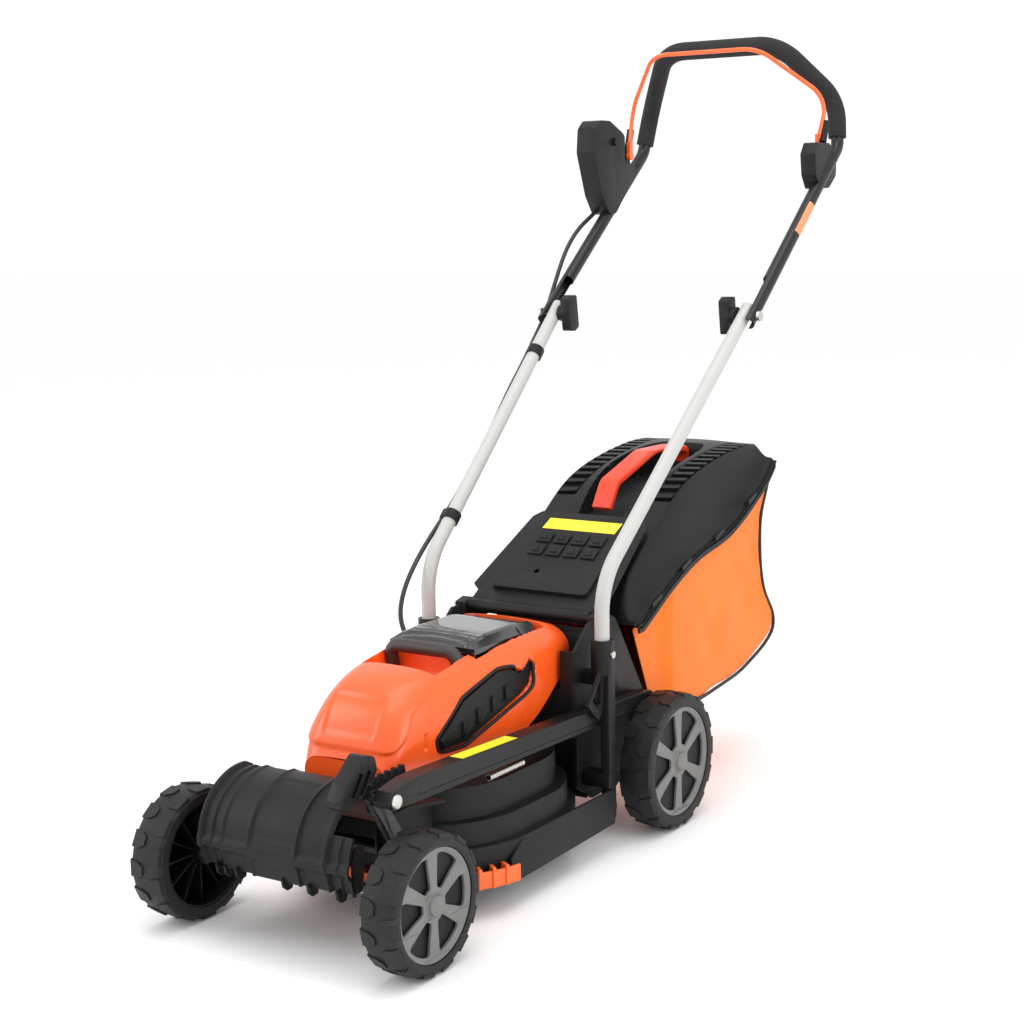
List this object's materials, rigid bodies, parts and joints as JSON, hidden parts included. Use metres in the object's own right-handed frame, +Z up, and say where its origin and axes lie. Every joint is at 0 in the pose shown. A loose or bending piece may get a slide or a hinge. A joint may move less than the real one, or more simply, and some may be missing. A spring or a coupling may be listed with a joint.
{
  "type": "push lawn mower",
  "caption": "Small cordless rotary push mower with folding tubular handle, rear fabric grass box, wheel height lever and spinning blade.",
  "frame": {"origin": "on the ground, midway along the overall length, on the middle plane", "axes": "+Z up, nose towards -Y, handle and grass box towards +Y, height lever side at +X"},
  "size_m": [0.379, 1.1656, 1.0673],
  "materials": {
    "black_plastic": "textured black moulding",
    "grip_black": "fine textured black moulding",
    "gloss_black": "polished black moulding",
    "grey_cover": "satin grey moulding",
    "orange_plastic": "semi-gloss orange moulding",
    "red_handle": "grooved red-orange moulding",
    "key_red": "plain red moulding",
    "button_grey": "dark grey moulding",
    "board_green": "coated circuit board",
    "tyre": "black moulded tyre",
    "foam": "closed-cell foam",
    "cable_black": "smooth black sheath",
    "orange_fabric": "woven orange polyester",
    "orange_rod": "powder-coated orange",
    "silver_tube": "satin silver paint",
    "black_tube": "satin black paint",
    "black_steel": "black painted steel",
    "motor_steel": "grey painted can",
    "zinc_steel": "bright zinc plate",
    "spring_steel": "oiled spring wire",
    "blade_steel": "hardened steel, ground edges"
  },
  "bodies": {
    "chassis": {"deck": "black_plastic", "grass_comb": "orange_plastic", "nose_cover": "black_plastic", "rear_frame": "black_plastic", "flap_hinge_rod": "zinc_steel", "tube_socket_left": "black_plastic", "tube_socket_right": "black_plastic", "lower_tube_left": "silver_tube", "lower_tube_right": "silver_tube", "body_screws": "zinc_steel", "motor_cover": "orange_plastic", "vent_insert_left": "grip_black", "vent_insert_right": "grip_black", "carry_handle": "grip_black", "motor": "motor_steel", "controller_board": "board_green", "battery_pack": "gloss_black", "safety_key": "key_red", "height_rack": "black_plastic", "height_spring": "spring_steel", "cable_lower": "cable_black", "cable_clips": "black_plastic", "handle_bolts": "zinc_steel"},
    "front_carrier": {"front_axle_carrier": "black_steel", "front_axle": "zinc_steel", "height_lever_grip": "grip_black", "link_screw": "black_steel"},
    "rear_carrier": {"rear_axle_carrier": "black_steel", "rear_axle": "zinc_steel"},
    "link": {"link_bar": "grip_black"},
    "wheel_front_left": {"front_tyre_left": "tyre", "front_wheel_core_left": "black_plastic", "front_wheel_cover_left": "grey_cover"},
    "wheel_front_right": {"front_tyre_right": "tyre", "front_wheel_core_right": "black_plastic", "front_wheel_cover_right": "grey_cover"},
    "wheel_rear_left": {"rear_tyre_left": "tyre", "rear_wheel_core_left": "black_plastic", "rear_wheel_cover_left": "grey_cover"},
    "wheel_rear_right": {"rear_tyre_right": "tyre", "rear_wheel_core_right": "black_plastic", "rear_wheel_cover_right": "grey_cover"},
    "cutter": {"spindle": "zinc_steel", "blade_fan": "black_plastic", "blade": "blade_steel", "blade_bolt": "zinc_steel"},
    "battery_cover": {"battery_lid": "gloss_black"},
    "flap": {"rear_flap": "black_plastic"},
    "grass_box": {"box_lid": "black_plastic", "box_handle": "red_handle", "grass_bag": "orange_fabric"},
    "handle": {"upper_handle": "black_tube", "foam_grip": "foam", "switch_box": "grip_black", "bail_bracket": "grip_black", "cable_upper": "cable_black"},
    "bail": {"bail_lever": "orange_rod"},
    "button": {"safety_button": "button_grey"},
    "knob_left": {"wing_knob_left": "grip_black"},
    "knob_right": {"wing_knob_right": "grip_black"}
  },
  "joints": [
    {"name": "front_height", "type": "hinge", "parent": "chassis", "child": "front_carrier", "pos_m": [0, -0.45381, 0.108], "axis": [-1, 0, 0], "range_deg": [0, 25]},
    {"name": "link_pivot", "type": "hinge", "parent": "front_carrier", "child": "link", "pos_m": [0.122, -0.5028, 0.185], "axis": [-1, 0, 0], "range_deg": [-25, 0]},
    {"name": "rear_height", "type": "hinge", "parent": "chassis", "child": "rear_carrier", "pos_m": [0, 0.0952, 0.095], "axis": [-1, 0, 0], "range_deg": [0, 25]},
    {"name": "front_wheel_left_spin", "type": "hinge", "parent": "front_carrier", "child": "wheel_front_left", "pos_m": [-0.165, -0.5038, 0.079], "axis": [1, 0, 0], "continuous": true},
    {"name": "front_wheel_right_spin", "type": "hinge", "parent": "front_carrier", "child": "wheel_front_right", "pos_m": [0.165, -0.5038, 0.079], "axis": [1, 0, 0], "continuous": true},
    {"name": "rear_wheel_left_spin", "type": "hinge", "parent": "rear_carrier", "child": "wheel_rear_left", "pos_m": [-0.159, 0.04519, 0.091], "axis": [1, 0, 0], "continuous": true},
    {"name": "rear_wheel_right_spin", "type": "hinge", "parent": "rear_carrier", "child": "wheel_rear_right", "pos_m": [0.159, 0.04519, 0.091], "axis": [1, 0, 0], "continuous": true},
    {"name": "blade_spin", "type": "hinge", "parent": "chassis", "child": "cutter", "pos_m": [0, -0.2418, 0.1], "axis": [0, 0, 1], "continuous": true},
    {"name": "battery_lid_hinge", "type": "hinge", "parent": "chassis", "child": "battery_cover", "pos_m": [0, -0.1228, 0.289], "axis": [-1, 0, 0], "range_deg": [0, 95]},
    {"name": "rear_flap_hinge", "type": "hinge", "parent": "chassis", "child": "flap", "pos_m": [0, -0.0388, 0.291], "axis": [1, 0, 0], "range_deg": [0, 75], "stiffness_Nm_per_rad": 0.4, "springref_deg": -34.38},
    {"name": "grass_box_slide", "type": "slide", "parent": "chassis", "child": "grass_box", "axis": [0, 1, 0], "range_m": [0, 0.3]},
    {"name": "handle_fold", "type": "hinge", "parent": "chassis", "child": "handle", "pos_m": [0, 0.2752, 0.666], "axis": [1, 0, 0], "range_deg": [0, 135]},
    {"name": "bail_hinge", "type": "hinge", "parent": "handle", "child": "bail", "pos_m": [0, 0.50619, 0.9], "axis": [-1, 0, 0], "range_deg": [0, 12], "stiffness_Nm_per_rad": 0.5, "springref_deg": -28.65},
    {"name": "safety_button_press", "type": "slide", "parent": "handle", "child": "button", "axis": [-1, 0, 0], "range_m": [0, 0.004], "stiffness_N_per_m": 400, "springref_m": -0.001},
    {"name": "wing_knob_left_turn", "type": "hinge", "parent": "chassis", "child": "knob_left", "pos_m": [-0.134, 0.2752, 0.666], "axis": [1, 0, 0], "continuous": true},
    {"name": "wing_knob_right_turn", "type": "hinge", "parent": "chassis", "child": "knob_right", "pos_m": [0.134, 0.2752, 0.666], "axis": [1, 0, 0], "continuous": true}
  ],
  "couplings": [
    {"joint": "link_pivot", "follows": "front_height", "ratio": -1},
    {"joint": "rear_height", "follows": "front_height", "ratio": 1}
  ]
}
